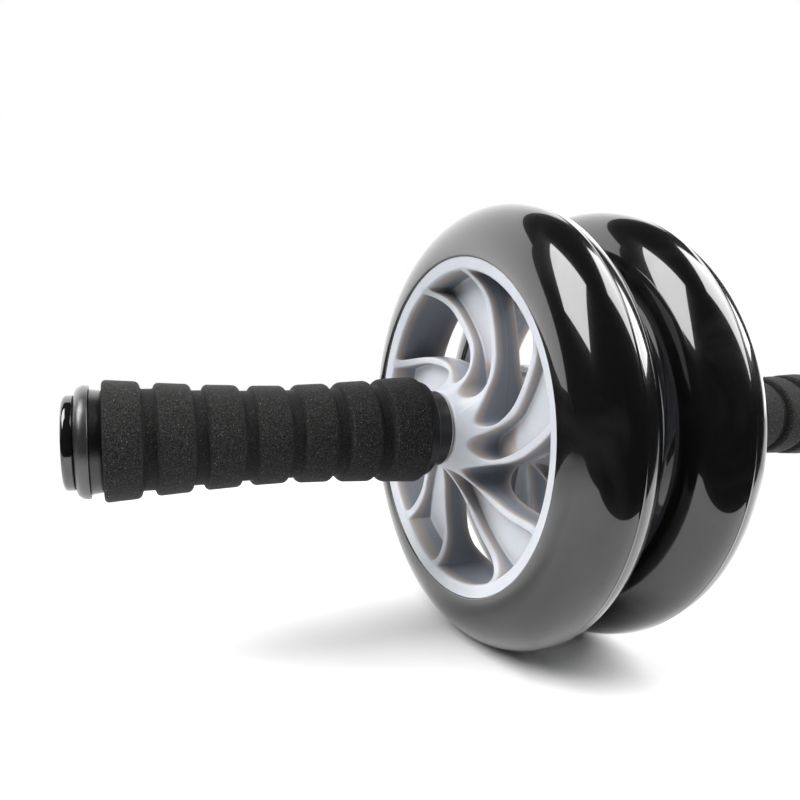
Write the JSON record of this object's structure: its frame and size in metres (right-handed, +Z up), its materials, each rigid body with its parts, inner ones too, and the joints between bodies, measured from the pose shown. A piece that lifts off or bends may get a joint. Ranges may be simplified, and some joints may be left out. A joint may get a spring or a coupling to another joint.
{
  "type": "ab wheel roller",
  "caption": "Abdominal exercise roller: free-turning spoked wheels side by side on a steel axle, with a ribbed foam grip at each end.",
  "frame": {"origin": "on the axle's centre line, halfway between the two wheels", "axes": "+X along the axle towards the right-hand grip, +Z up, +Y away from the person who holds the grips"},
  "size_m": [0.363, 0.18, 0.18],
  "materials": {
    "rim_plastic": "pale blue-grey, smooth moulded, satin",
    "tyre": "gloss black, smooth moulded",
    "foam": "closed-cell foam, near black, fine grain, matt",
    "handle_plastic": "black, smooth moulded, satin",
    "end_ring_rubber": "dark grey, matt",
    "cap_plastic": "gloss black",
    "bush_plastic": "off-white, turned, satin",
    "steel": "drawn bar, plain bright steel"
  },
  "bodies": {
    "root": {"axle": "steel", "centre_spacer": "bush_plastic", "left_thrust_washer": "bush_plastic", "left_handle_core": "handle_plastic", "left_foam_grip": "foam", "left_end_ring": "end_ring_rubber", "left_end_cap": "cap_plastic", "left_screw": "steel", "left_screw_washer": "steel", "right_thrust_washer": "bush_plastic", "right_handle_core": "handle_plastic", "right_foam_grip": "foam", "right_end_ring": "end_ring_rubber", "right_end_cap": "cap_plastic", "right_screw": "steel", "right_screw_washer": "steel"},
    "left_wheel": {"left_wheel_rim": "rim_plastic", "left_tyre": "tyre", "left_outer_bush": "bush_plastic", "left_inner_bush": "bush_plastic"},
    "right_wheel": {"right_wheel_rim": "rim_plastic", "right_tyre": "tyre", "right_outer_bush": "bush_plastic", "right_inner_bush": "bush_plastic"}
  },
  "joints": [
    {"name": "left_wheel_spin", "type": "hinge", "parent": "root", "child": "left_wheel", "pos_m": [-0.02185, 0, 0], "axis": [1, 0, 0], "continuous": true},
    {"name": "right_wheel_spin", "type": "hinge", "parent": "root", "child": "right_wheel", "pos_m": [0.02185, 0, 0], "axis": [1, 0, 0], "continuous": true}
  ]
}
